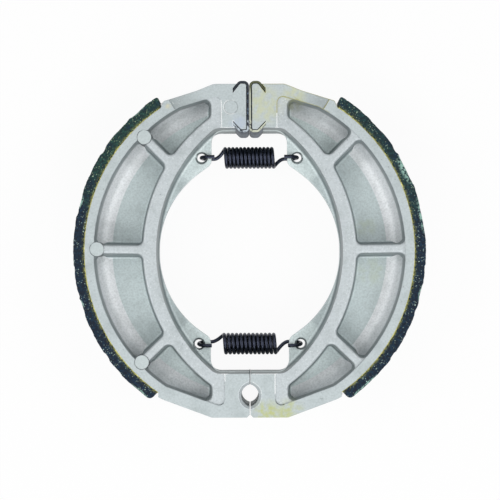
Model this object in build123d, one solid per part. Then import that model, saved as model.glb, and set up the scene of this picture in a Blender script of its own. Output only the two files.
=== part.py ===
from build123d import *
import os
from math import atan2, cos, degrees, radians, sin, sqrt, tan

# Drum brake shoe pair with its two return springs, off the vehicle and lying flat.
# Two identical die castings carry bonded linings and steel wear caps, and face each other across
# the plane X = 0. With no cam between them the springs draw the two caps together.
# The right-hand shoe is the left-hand one turned half round about Y, so it shows its other side.
# +Y points to the cam end, -Y to the anchor pin end, and the drum's axis is along +Z.
# The springs have drawn the shoes in, so each lining's centre lies past the split plane.
# Angles of the left-hand shoe are measured at its lining's centre from -X, positive to the cam.

# Drum and overall sizes
drum_radius = 65.0
shoe_width = 28.0
overall_length = 119.2
draw_in = 2.5
lining_centre_drop = 0.65

# Lining and its adhesive
lining_thickness = 3.9
lining_side_step = 0.2
lining_corner_radius = 1.0
adhesive_thickness = 0.2
lining_cam_angle = 56.0
lining_cam_outer_lead = 2.1
lining_anchor_angle = 54.8
lining_anchor_outer_lead = -0.5

# Stop shoulders at the ends of the lining seat
shoulder_height = 1.5
shoulder_gap_angle = 0.2
cam_shoulder_angle = 2.4
anchor_shoulder_angle = 1.1
shoulder_radius = 0.6

# Rim, web and inner flange of the casting
rim_thickness = 3.15
cam_rim_wall = 3.7
anchor_rim_wall = 4.7
rim_fillet_radius = 4.7
rim_fillet_run_on = 19.0
web_thickness = 4.0
web_inner_radius = 35.1
web_cam_angle = 54.0
web_anchor_angle = 54.5
flange_edge_radius = 55.6
flange_edge_shift = 20.0
flange_end_radius = 5.0
flange_fillet_radius = 1.5
window_draft = 1.2
casting_step = 0.5
step_inset = 0.12
step_corner_radius = 2.2

# Pockets and the ribs between them
pocket_inner_radius = 58.8
pocket_inner_shift = 18.4
pocket_draft = 3.0
pocket_corner_radius = 2.2
pocket_floor_radius = 1.2
pocket_cam_clearance = 3.75
pocket_anchor_clearance = 4.6
pocket_mouth_radius = 1.0
pocket_mouth_inset = 0.05
pocket_mouth_depth = 1.2
rib_width = 3.1
rib_spacing = 44.7
middle_rib_angle = 0.8

# Ejector bosses and marks, on one side of the casting only
boss_radius = 2.55
boss_circle_radius = 56.6
boss_sink = 0.2
mark_from_pad = 6.5
mark_from_top = 8.15
mark_sink = 0.15

# Cam end
pad_gap = 0.06
cam_block_reach = 9.8
cam_block_height = 15.5
cam_flat_reach = 12.5
cam_flat_radius = 4.0
cam_slope_reach = 18.5
cam_slope_drop = 2.4
cam_slope_radius = 9.0
nose_width = 7.0
nose_top_flat = 3.6
nose_foot_flat = 3.3
nose_rise = 1.1
nose_drop = 1.6
nose_cheek = 4.2
nose_foot_cheek = 3.9
nose_top_radius = 1.9
nose_foot_radius = 1.5

# Steel wear cap, clipped round the nose with its two ends in slits
cap_thickness = 0.7
cap_reach = 5.75
cap_side_step = 0.1
cap_edge_chamfer = 0.35
cap_clearance = 0.02
cap_groove_width = 0.33
cap_groove_depth = 0.7

# Dressed facet on the cam arm's rim, deepest at its sharp outer end
facet_start = (-27.4, 51.3)
facet_angle = 32.0
facet_length = 12.5
facet_depth = 0.42
facet_half_width = 4.0

# Anchor end
split_gap = 0.3
anchor_block_reach = 8.75
anchor_block_height = 15.55
anchor_flat_reach = 13.3
anchor_flat_radius = 3.0
anchor_slope_fall = 0.979
anchor_slope_step = 2.034
anchor_slope_radius = 3.0
anchor_corner_chamfer = 1.0
anchor_pin_radius = 4.05
anchor_pin_inset = 7.8
anchor_pin_shift = 1.1
anchor_chamfer = 1.0

# Spring lugs of the web
cam_hole_reach = 17.2
cam_hole_drop = 9.8
cam_lug_margin = 3.55
anchor_hole_reach = 18.35
anchor_hole_rise = 10.15
anchor_lug_margin = 4.2
lug_corner_radius = 3.2
lug_root_radius = 4.3
spring_hole_radius = 1.6
spring_hole_chamfer = 0.6

# Return springs
wire_diameter = 1.33
coil_diameter = 7.9
coil_turns = 12.5
cam_spring_pitch = 1.40
anchor_spring_pitch = 1.49
hook_clearance = 0.2
hook_seat = 0.1
hook_tip_reach = 1.9
hook_leg_reach = 1.6
hook_lead_length = 2.2
cam_hook_twist = -5.0
anchor_hook_twist = 12.0

# Places worked out from the sizes
half_width = shoe_width / 2
web_half = web_thickness / 2
lining_inner_radius = drum_radius - lining_thickness
seat_radius = lining_inner_radius - adhesive_thickness
rim_inner_radius = seat_radius - rim_thickness
lining_x = draw_in
lining_y = -lining_centre_drop
nose_top = overall_length / 2
anchor_end = -overall_length / 2
cam_block_top = nose_top - nose_rise
cam_block_bottom = cam_block_top - cam_block_height
anchor_block_top = anchor_end + anchor_block_height
cam_hole_y = cam_block_bottom - cam_hole_drop
anchor_hole_y = anchor_block_top + anchor_hole_rise
pad_x = -pad_gap / 2
split_x = -split_gap / 2
cam_block_left = pad_x - cam_block_reach
anchor_block_left = split_x - anchor_block_reach
cam_lug_x = -cam_hole_reach + cam_lug_margin
anchor_lug_x = -anchor_hole_reach + anchor_lug_margin
floor_depth = half_width - web_half
rib_angles = [middle_rib_angle + step * rib_spacing for step in (-1, 0, 1)]
beyond = 2 * drum_radius


def at(radius, angle):
    """Give the point of the left shoe at a radius and angle about its lining's centre."""
    turn = radians(angle)
    return (lining_x - radius * cos(turn), lining_y + radius * sin(turn))


def arc_at(radius, first_angle, last_angle):
    """Draw an arc about the lining's centre from one angle to another."""
    middle = (first_angle + last_angle) / 2
    return ThreePointArc(at(radius, first_angle), at(radius, middle), at(radius, last_angle))


def lug_corner(angle, lug_x):
    """Give the corner where the web's inner arc, run on straight, meets a lug's edge."""
    start_x, start_y = at(web_inner_radius, angle)
    rise = (lug_x - start_x) / sin(radians(abs(angle))) * cos(radians(angle))
    return (lug_x, start_y + (rise if angle > 0 else -rise))


def cam_slope():
    """Give the two ends of the outer slope that joins the lining's shoulder to the cam end."""
    shoulder = at(seat_radius + shoulder_height, lining_cam_angle + cam_shoulder_angle)
    return shoulder, (pad_x - cam_slope_reach, cam_block_top - cam_slope_drop)


def anchor_shoulder():
    """Give the outer corner of the shoulder that stops the lining at the anchor end."""
    return at(seat_radius + shoulder_height, -lining_anchor_angle - anchor_shoulder_angle)


def anchor_slope():
    """Give the two ends of the outer slope that runs to the anchor end's flat."""
    shoulder_x, shoulder_y = anchor_shoulder()
    start = (shoulder_x + anchor_slope_step, shoulder_y - anchor_slope_fall)
    return start, (split_x - anchor_flat_reach, anchor_end)


def cam_side_outline():
    """Draw the casting's outline from the web's inner arc round the cam end to the seat."""
    core_x = pad_x - nose_foot_flat / 2
    shoulder, slope_end = cam_slope()
    points = [
        at(web_inner_radius, web_cam_angle),
        lug_corner(web_cam_angle, cam_lug_x),
        (cam_lug_x, cam_block_bottom),
        (core_x, cam_block_bottom),
        (core_x, cam_block_top),
        (pad_x - cam_flat_reach, cam_block_top),
        slope_end,
        shoulder,
        at(seat_radius, lining_cam_angle + shoulder_gap_angle),
    ]
    lug_radii = [lug_corner_radius, lug_root_radius]
    end_radii = [0, 0, cam_flat_radius, cam_slope_radius, shoulder_radius]
    return FilletPolyline(*points, radius=lug_radii + end_radii)


def anchor_side_outline():
    """Draw the casting's outline from the seat round the anchor end to the web's inner arc."""
    slope_start, slope_end = anchor_slope()
    points = [
        at(seat_radius, -lining_anchor_angle - shoulder_gap_angle),
        anchor_shoulder(),
        slope_start,
        slope_end,
        (split_x - anchor_corner_chamfer, anchor_end),
        (split_x, anchor_end + anchor_corner_chamfer),
        (split_x, anchor_block_top),
        (anchor_lug_x, anchor_block_top),
        lug_corner(-web_anchor_angle, anchor_lug_x),
        at(web_inner_radius, -web_anchor_angle),
    ]
    end_radii = [shoulder_radius, anchor_slope_radius, anchor_flat_radius, 0, 0, 0]
    lug_radii = [lug_root_radius, lug_corner_radius]
    return FilletPolyline(*points, radius=end_radii + lug_radii)


def casting_blank():
    """Extrude the casting's whole outline to the full width of the shoe."""
    seat_start = lining_cam_angle + shoulder_gap_angle
    seat_end = -lining_anchor_angle - shoulder_gap_angle
    seat = arc_at(seat_radius, seat_start, seat_end)
    inner = arc_at(web_inner_radius, -web_anchor_angle, web_cam_angle)
    outlines = [cam_side_outline(), seat, anchor_side_outline(), inner]
    plan = make_face([edge for outline in outlines for edge in outline.edges()])
    return extrude(plan, amount=half_width, both=True)


def rounded(plan, radius):
    """Round a plan's outward corners by drawing it in and letting it out again."""
    core = offset(plan, amount=-radius, kind=Kind.INTERSECTION)
    return offset(core, amount=radius, kind=Kind.ARC).face()


def sunk_tool(plan, depth, draft_angle, floor_radius):
    """Make the plug that a drafted recess leaves in the shoe's upper side."""
    plug = extrude(plan, amount=depth, taper=draft_angle)
    plug = fillet(plug.faces().sort_by(Axis.Z)[-1].edges(), floor_radius)
    return Pos(0, 0, half_width) * mirror(plug, about=Plane.XY)


def both_sides(solid):
    """Give a solid of the upper side together with its mirror image on the lower side."""
    return [solid, mirror(solid, about=Plane.XY)]


def window_plan():
    """Draw the opening inside the inner flange, which leaves the spring lugs standing."""
    centre_x = lining_x + flange_edge_shift
    corners = []
    for level in (cam_block_bottom, anchor_block_top):
        reach = sqrt(flange_edge_radius**2 - (level - lining_y) ** 2)
        corners.append((centre_x - reach, level))
    edge = ThreePointArc(corners[0], (centre_x - flange_edge_radius, lining_y), corners[1])
    far_x = lining_x + drum_radius
    closing = Polyline(corners[1], (far_x, anchor_block_top), (far_x, cam_block_bottom), corners[0])
    plan = make_face([*edge.edges(), *closing.edges()]).face()
    return plan.fillet_2d(flange_end_radius, plan.vertices().sort_by(Axis.X)[:2])


def rib_strip(angle):
    """Draw the strip that a radial rib keeps between two pockets."""
    strip = Pos(drum_radius / 2, 0) * Rectangle(drum_radius, rib_width)
    return Pos(lining_x, lining_y) * Rot(0, 0, 180 - angle) * strip


def rim_limit(slope_start, slope_end, wall, side):
    """Draw all that lies past a line kept inside an outer slope by the rim's wall."""
    turn = degrees(atan2(slope_end[1] - slope_start[1], slope_end[0] - slope_start[0]))
    half_plane = Pos(0, side * (beyond / 2 - wall)) * Rectangle(2 * beyond, beyond)
    return Pos(*slope_start) * Rot(0, 0, turn) * half_plane


def inside_rim(inset):
    """Draw the area inside the rim's wall, which follows the lining and then the end slopes."""
    area = Pos(lining_x, lining_y) * Circle(rim_inner_radius - inset)
    area -= rim_limit(*cam_slope(), cam_rim_wall + inset, 1)
    area -= rim_limit(*anchor_slope(), anchor_rim_wall + inset, -1)
    return area


def end_blocks():
    """Draw the areas of the cam block and the anchor block, run on past the outline."""
    cam_area = Pos(cam_block_left + beyond / 2, beyond / 2) * Rectangle(beyond, beyond)
    anchor_area = Pos(anchor_block_left + beyond / 2, -beyond / 2) * Rectangle(beyond, beyond)
    return cam_area, anchor_area


def pocket_field(inset):
    """Draw the area between the rim, the inner flange and the end blocks, pockets and ribs alike."""
    cam_area, anchor_area = end_blocks()
    flange_centre = Pos(lining_x + pocket_inner_shift, lining_y)
    field = inside_rim(inset) - flange_centre * Circle(pocket_inner_radius + inset)
    field -= Pos(-pocket_cam_clearance - inset, 0) * cam_area
    field -= Pos(-pocket_anchor_clearance - inset, 0) * anchor_area
    return field


def pocket_plans():
    """Draw the four pockets that the ribs leave of the field."""
    field = pocket_field(0)
    for angle in rib_angles:
        field -= rib_strip(angle)
    return [rounded(plan, pocket_corner_radius) for plan in field.faces()]


def step_area():
    """Draw the rough-cast area inside the rim and between the blocks."""
    cam_area, anchor_area = end_blocks()
    area = (inside_rim(step_inset) - cam_area - anchor_area).face()
    ends = area.vertices().sort_by(Axis.Y)
    return area.fillet_2d(step_corner_radius, [ends[0], ends[-1]])


def step_tool():
    """Make the cut that lowers the rough-cast area and rounds off the pockets' mouths in it."""
    level = half_width - casting_step
    slab = Pos(lining_x, lining_y, level + casting_step) * Box(beyond, beyond, 2 * casting_step)
    for plan in pocket_plans():
        neck = offset(plan, amount=-pocket_mouth_inset).face()
        slab += Pos(0, 0, level - pocket_mouth_depth) * extrude(neck, amount=pocket_mouth_depth + casting_step)
    mouths = slab.faces().filter_by(Axis.Z).sort_by_distance((lining_x, lining_y, level))[0].inner_wires()
    slab = fillet([edge for mouth in mouths for edge in mouth.edges()], pocket_mouth_radius)
    return slab & extrude(step_area(), amount=shoe_width)


def rim_fillet_ring():
    """Revolve the large fillet between the rim's inner wall and the web."""
    wall = rim_inner_radius - (floor_depth - rim_fillet_radius) * tan(radians(pocket_draft))
    top = web_half + rim_fillet_radius
    floor_x = wall - rim_fillet_radius
    lean = rim_fillet_radius * sin(radians(45))
    hollow = ThreePointArc((floor_x, 0, web_half), (floor_x + lean, 0, top - lean), (wall, 0, top))
    backing = Polyline((wall, 0, top), (wall + web_half, 0, top), (wall + web_half, 0, 0), (floor_x, 0, 0))
    foot = Line((floor_x, 0, 0), (floor_x, 0, web_half))
    section = make_face([*hollow.edges(), *backing.edges(), *foot.edges()])
    first_angle = 180 - lining_cam_angle - rim_fillet_run_on
    sweep_angle = lining_cam_angle + lining_anchor_angle + 2 * rim_fillet_run_on
    ring = revolve(Rot(0, 0, first_angle) * section, Axis.Z, revolution_arc=sweep_angle)
    return Pos(lining_x, lining_y) * ring


def ejector_bosses():
    """Make the three ejector bosses where the ribs meet the rim, on the upper side."""
    height = half_width - boss_sink
    bosses = []
    for angle in rib_angles:
        boss = Cylinder(boss_radius, height, align=(Align.CENTER, Align.CENTER, Align.MIN))
        bosses.append(Pos(*at(boss_circle_radius, angle)) * boss)
    return bosses


def ejector_marks():
    """Make the shallow discs that the ejector pins leave in the upper side."""
    disc = Cylinder(boss_radius, 2 * boss_sink, align=(Align.CENTER, Align.CENTER, Align.MIN))
    marks = []
    for angle in rib_angles:
        marks.append(Pos(*at(boss_circle_radius, angle), half_width - boss_sink) * disc)
    mark_place = (pad_x - mark_from_pad, cam_block_top - mark_from_top, half_width - mark_sink)
    marks.append(Pos(*mark_place) * disc)
    return marks


def nose_plan():
    """Draw the nose with the wear cap round it."""
    shoulder_x = pad_x - nose_width
    foot = cam_block_bottom - nose_drop
    outline = FilletPolyline(
        (pad_x, foot),
        (pad_x, nose_top),
        (pad_x - nose_top_flat, nose_top),
        (shoulder_x, nose_top - nose_cheek),
        (shoulder_x, foot + nose_foot_cheek),
        (pad_x - nose_foot_flat, foot),
        radius=[nose_foot_radius, nose_top_radius, nose_top_radius, 0, 0, nose_foot_radius],
        close=True,
    )
    return make_face(outline)


def cap_band(outer_inset, inner_inset):
    """Draw the band between two insets of the nose's outline, from slit to slit."""
    plan = nose_plan()
    outer = offset(plan, amount=-outer_inset, kind=Kind.INTERSECTION) if outer_inset else plan
    inner = offset(plan, amount=-inner_inset, kind=Kind.INTERSECTION)
    closed_side = Pos(pad_x - cap_reach - beyond / 2, nose_top) * Rectangle(beyond, beyond)
    return outer - inner - closed_side


def cam_nose():
    """Make the nose that the wear cap is bent round."""
    return extrude(nose_plan(), amount=half_width, both=True)


def cap_seat():
    """Make the cuts that the wear cap needs: its own band and the open groove beside it."""
    band = cap_band(-cap_clearance, cap_thickness + cap_clearance)
    groove = extrude(cap_band(cap_thickness, cap_thickness + cap_groove_width), amount=2 * cap_groove_depth)
    groove = Pos(0, 0, half_width - cap_groove_depth) * groove
    return [extrude(band, amount=shoe_width, both=True), *both_sides(groove)]


def wear_cap():
    """Make the thin steel cap that is clipped round the nose, its long edges rolled off."""
    cap = extrude(nose_plan(), amount=half_width - cap_side_step, both=True)
    cap = chamfer(cap.faces().filter_by(Axis.Z).edges(), cap_edge_chamfer)
    inner = offset(nose_plan(), amount=-cap_thickness, kind=Kind.INTERSECTION)
    cap -= extrude(inner, amount=shoe_width, both=True)
    closed_side = Pos(pad_x - cap_reach - beyond / 2, 0) * Box(beyond, 2 * beyond, 2 * shoe_width)
    return (cap - closed_side).solid()


def facet_tool():
    """Make the shallow wedge that dressing took off the cam arm's rim."""
    turn = radians(facet_angle)
    along = (cos(turn), sin(turn), 0)
    across = (sin(turn), -cos(turn), 0)
    upright = Plane(origin=(*facet_start, half_width), x_dir=along, z_dir=across)
    clear = facet_depth
    wedge = Polyline((0, -facet_depth), (facet_length, 0), (facet_length, clear), (0, clear), close=True)
    return extrude(upright * make_face(wedge), amount=facet_half_width, both=True)


def anchor_notch():
    """Make the anchor pin's share of the casting, with the chamfers at its two mouths."""
    pin = Cylinder(anchor_pin_radius, 2 * shoe_width)
    mouth_radius = anchor_pin_radius + anchor_chamfer
    cone = Cone(anchor_pin_radius, mouth_radius, anchor_chamfer)
    mouth = Pos(0, 0, half_width - anchor_chamfer / 2) * cone
    place = Pos(split_x + anchor_pin_shift, anchor_end + anchor_pin_inset)
    return [place * tool for tool in [pin, *both_sides(mouth)]]


def spring_holes():
    """Make the countersunk holes that the spring hooks pass through."""
    mouth_radius = spring_hole_radius + spring_hole_chamfer
    drill = Cylinder(spring_hole_radius, shoe_width)
    cone = Cone(spring_hole_radius, mouth_radius, spring_hole_chamfer)
    mouth = Pos(0, 0, web_half - spring_hole_chamfer / 2) * cone
    tools = []
    for place in ((-cam_hole_reach, cam_hole_y), (-anchor_hole_reach, anchor_hole_y)):
        tools += [Pos(*place) * tool for tool in [drill, *both_sides(mouth)]]
    return tools


def casting():
    """Make one shoe casting, its mid-plane at Z = 0 and its ejector side up."""
    recesses = both_sides(step_tool()) + both_sides(facet_tool())
    recesses += both_sides(sunk_tool(window_plan(), floor_depth, window_draft, flange_fillet_radius))
    for plan in pocket_plans():
        recesses += both_sides(sunk_tool(plan, floor_depth, pocket_draft, pocket_floor_radius))
    shoe = casting_blank() - recesses
    shoe += both_sides(rim_fillet_ring())
    shoe += ejector_bosses()
    shoe += cam_nose()
    cuts = [*anchor_notch(), *spring_holes(), *ejector_marks(), *cap_seat()]
    return (shoe - cuts).solid()


def seat_band(inner_radius, outer_radius, outer_leads, corner_radius):
    """Extrude a band that follows the lining's seat, its outer edge leading its inner one in degrees."""
    cam_lead, anchor_lead = outer_leads
    outer = arc_at(outer_radius, lining_cam_angle + cam_lead, -lining_anchor_angle - anchor_lead)
    inner = arc_at(inner_radius, -lining_anchor_angle, lining_cam_angle)
    ends = [Line(outer @ 1, inner @ 0), Line(inner @ 1, outer @ 0)]
    plan = make_face([edge for piece in (outer, inner, *ends) for edge in piece.edges()]).face()
    if corner_radius:
        outer_corners = plan.vertices().sort_by_distance((lining_x, lining_y, 0))[-2:]
        plan = plan.fillet_2d(corner_radius, outer_corners)
    return extrude(plan, amount=half_width - lining_side_step, both=True).solid()


def hook_wire(coil_end, coil_direction, hook_reach, twist):
    """Sweep the wire of the left-hand hook, from the coil's end round behind the web to its tip."""
    bend_radius = web_half + hook_clearance + wire_diameter / 2
    bend_x = -hook_reach + bend_radius
    tip_x = bend_x + hook_tip_reach
    leg_start = (bend_x + hook_leg_reach, 0, -bend_radius)
    turned = Rot(twist, 0, 0)
    leg_point = turned * Pos(*leg_start)
    start = Vector(*coil_end)
    finish = leg_point.position
    lead_out = Bezier(
        start,
        start - coil_direction * hook_lead_length,
        finish + Vector(hook_lead_length, 0, 0),
        finish,
    )
    low_bend = (bend_x, 0, -bend_radius)
    far_bend = (bend_x - bend_radius, 0, 0)
    high_bend = (bend_x, 0, bend_radius)
    low_leg = turned * Line(leg_start, low_bend)
    bend = turned * ThreePointArc(low_bend, far_bend, high_bend)
    high_leg = turned * Line(high_bend, (tip_x, 0, bend_radius))
    path = Wire([*lead_out.edges(), *low_leg.edges(), *bend.edges(), *high_leg.edges()])
    section = Plane(origin=start, z_dir=coil_direction) * Circle(wire_diameter / 2)
    return sweep(section, path=path)


def return_spring(pitch, centre_y, hole_reach, twist):
    """Make a close-wound tension spring, hooked through the holes of both shoes."""
    mean_radius = (coil_diameter - wire_diameter) / 2
    coil_length = coil_turns * pitch
    coil = Helix(pitch, coil_length, mean_radius)
    laid = Plane(origin=(-coil_length / 2, 0, 0), x_dir=(0, 1, 0), z_dir=(1, 0, 0)).location
    path = laid * coil
    section = Plane(origin=path @ 0, z_dir=path % 0) * Circle(wire_diameter / 2)
    body = sweep(section, path=path, is_frenet=True)
    reach = hole_reach + hook_seat
    left_hook = hook_wire(path @ 0, path % 0, reach, twist)
    right_hook = Rot(0, 0, 180) * hook_wire(path @ 0, path % 0, reach, -twist)
    spring = body + left_hook + right_hook
    return (Pos(0, centre_y, half_width) * spring).solid()


def turned_over(solid):
    """Turn a piece of the left-hand shoe half round about Y, to its place on the right."""
    return Pos(0, 0, shoe_width) * Rot(0, 180, 0) * solid


def main():
    """Build every piece and write one STEP file for each."""
    lift = Pos(0, 0, half_width)
    outer_leads = (lining_cam_outer_lead, lining_anchor_outer_lead)
    shoe = lift * casting()
    lining = lift * seat_band(lining_inner_radius, drum_radius, outer_leads, lining_corner_radius)
    bond_line = lift * seat_band(seat_radius, lining_inner_radius, (0, 0), 0)
    cap = lift * wear_cap()
    cam_places = (cam_spring_pitch, cam_hole_y, cam_hole_reach, cam_hook_twist)
    anchor_places = (anchor_spring_pitch, anchor_hole_y, anchor_hole_reach, anchor_hook_twist)
    pieces = {
        "left_shoe": shoe,
        "left_lining": lining,
        "left_bond_line": bond_line,
        "left_wear_cap": cap,
        "right_shoe": turned_over(shoe),
        "right_lining": turned_over(lining),
        "right_bond_line": turned_over(bond_line),
        "right_wear_cap": turned_over(cap),
        "cam_spring": return_spring(*cam_places),
        "anchor_spring": return_spring(*anchor_places),
    }
    os.makedirs("parts", exist_ok=True)
    for name, piece in pieces.items():
        export_step(piece, f"parts/{name}.step")


main()
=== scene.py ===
"""Dresses a pair of drum brake shoes: castings, linings, adhesive and springs, in a plain studio."""

import logging
import math
from dataclasses import dataclass
from enum import Enum
from typing import Mapping, Sequence, Union

import bmesh
import bpy
import numpy as np
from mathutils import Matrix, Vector, noise

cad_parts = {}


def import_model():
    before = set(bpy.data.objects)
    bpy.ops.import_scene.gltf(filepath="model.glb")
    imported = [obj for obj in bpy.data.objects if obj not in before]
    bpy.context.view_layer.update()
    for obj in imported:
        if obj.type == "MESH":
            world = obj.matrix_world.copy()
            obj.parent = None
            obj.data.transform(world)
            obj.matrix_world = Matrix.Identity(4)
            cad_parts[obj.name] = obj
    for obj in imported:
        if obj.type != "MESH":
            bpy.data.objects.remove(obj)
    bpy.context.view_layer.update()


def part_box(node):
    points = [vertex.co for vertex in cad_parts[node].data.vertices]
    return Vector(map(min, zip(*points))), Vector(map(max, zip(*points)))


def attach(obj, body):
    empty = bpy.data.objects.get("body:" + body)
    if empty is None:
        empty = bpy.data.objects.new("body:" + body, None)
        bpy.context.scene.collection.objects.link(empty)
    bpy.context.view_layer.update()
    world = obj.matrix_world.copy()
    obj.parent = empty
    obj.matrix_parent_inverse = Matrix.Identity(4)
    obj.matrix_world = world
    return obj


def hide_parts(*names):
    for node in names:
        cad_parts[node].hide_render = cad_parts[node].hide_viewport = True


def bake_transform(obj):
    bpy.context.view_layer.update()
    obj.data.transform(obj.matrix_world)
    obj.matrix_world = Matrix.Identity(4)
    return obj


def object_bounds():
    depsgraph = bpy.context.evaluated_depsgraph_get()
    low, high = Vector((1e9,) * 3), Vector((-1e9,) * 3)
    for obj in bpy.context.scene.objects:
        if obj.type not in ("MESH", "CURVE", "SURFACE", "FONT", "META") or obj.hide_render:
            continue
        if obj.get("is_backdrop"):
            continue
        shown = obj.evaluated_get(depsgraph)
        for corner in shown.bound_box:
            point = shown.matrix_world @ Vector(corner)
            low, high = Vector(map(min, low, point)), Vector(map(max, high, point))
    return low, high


LOG = logging.getLogger("brake_shoes")
MM = 0.001

Colour = tuple[float, float, float]
Point = tuple[float, float, float]
PlanPoint = tuple[float, float]
Numbers = Union[float, np.ndarray]
Socket = bpy.types.NodeSocket
Material = bpy.types.Material


class Side(Enum):
    """The two shoes, named as their bodies are."""

    LEFT = "left"
    RIGHT = "right"

    @property
    def outward(self) -> int:
        """Give the sign of X on which this shoe lies."""
        return -1 if self is Side.LEFT else 1


class Slot(Enum):
    """Names of material slots."""

    CASTING = "shoe_casting"
    LINING = "lining"
    ADHESIVE = "adhesive"
    WIRE = "spring_wire"
    CAP = "wear_cap"


def at(x: float, y: float) -> PlanPoint:
    """Give a point in plan from its place in millimetres."""
    return (x * MM, y * MM)


def tone(red: int, green: int, blue: int) -> Colour:
    """Turn a display colour from 0 to 255 into the linear colour that shaders take.

    Args:
        red: Red, as a display shows it.
        green: Green, as a display shows it.
        blue: Blue, as a display shows it.

    Returns:
        The linear colour.
    """
    return tuple(((value / 255 + 0.055) / 1.055) ** 2.4 for value in (red, green, blue))


class Value:
    """A number in a node graph, on which Python's operators add Math nodes."""

    def __init__(self, graph: "NodeGraph", socket: Socket) -> None:
        """Wrap one output socket of a graph."""
        self.graph = graph
        self.socket = socket

    def _math(self, operation: str, *numbers: "Number") -> "Value":
        """Add a Math node and wrap what it gives."""
        made = self.graph.node("ShaderNodeMath", {"operation": operation}, dict(enumerate(numbers)))
        return Value(self.graph, made.outputs[0])

    def __add__(self, other: "Number") -> "Value":
        """Add a number."""
        return self._math("ADD", self, other)

    __radd__ = __add__

    def __sub__(self, other: "Number") -> "Value":
        """Take a number away."""
        return self._math("SUBTRACT", self, other)

    def __rsub__(self, other: "Number") -> "Value":
        """Take this away from a number."""
        return self._math("SUBTRACT", other, self)

    def __mul__(self, other: "Number") -> "Value":
        """Multiply by a number."""
        return self._math("MULTIPLY", self, other)

    __rmul__ = __mul__

    def __truediv__(self, other: "Number") -> "Value":
        """Divide by a number."""
        return self._math("DIVIDE", self, other)

    def __pow__(self, other: "Number") -> "Value":
        """Raise to a power."""
        return self._math("POWER", self, other)

    def __abs__(self) -> "Value":
        """Give the size without its sign."""
        return self._math("ABSOLUTE", self)

    def larger(self, other: "Number") -> "Value":
        """Give the larger of this and a number."""
        return self._math("MAXIMUM", self, other)

    def rise(self, start: float, end: float) -> "Value":
        """Go smoothly from 0 to 1 as this goes from one number to another.

        Args:
            start: Where the result is 0.
            end: Where the result is 1; it may be the smaller of the two.

        Returns:
            The smooth step.
        """
        flipped = end < start
        low, high = sorted((start, end))
        inputs = {0: self, 1: low, 2: high, 3: float(flipped), 4: float(not flipped)}
        made = self.graph.node("ShaderNodeMapRange", {"interpolation_type": "SMOOTHSTEP"}, inputs)
        return Value(self.graph, made.outputs[0])


Number = Union[float, Value]


class NodeGraph:
    """A node tree that is built with one call for each node."""

    def __init__(self, tree: bpy.types.NodeTree) -> None:
        """Keep the tree that the nodes go into."""
        self.tree = tree

    def node(
        self,
        kind: str,
        settings: Mapping[str, object] | None = None,
        inputs: Mapping[Union[str, int], object] | None = None,
    ) -> bpy.types.Node:
        """Add a node, set its settings and then its sockets.

        Args:
            kind: The node's type.
            settings: Attributes of the node, such as a Math node's operation.
            inputs: Values or links for the sockets, by name or number.

        Returns:
            The new node.
        """
        made = self.tree.nodes.new(kind)
        for name, value in (settings or {}).items():
            setattr(made, name, value)
        for key, value in (inputs or {}).items():
            source = value.socket if isinstance(value, Value) else value
            if isinstance(source, Socket):
                self.tree.links.new(source, made.inputs[key])
            else:
                made.inputs[key].default_value = source
        return made

    def white_rays(self) -> Value:
        """Give 1 for the rays that must meet a white background, those of the camera and of reflections."""
        path = self.node("ShaderNodeLightPath")
        return Value(self, path.outputs["Is Camera Ray"]).larger(Value(self, path.outputs["Is Glossy Ray"]))


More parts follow.
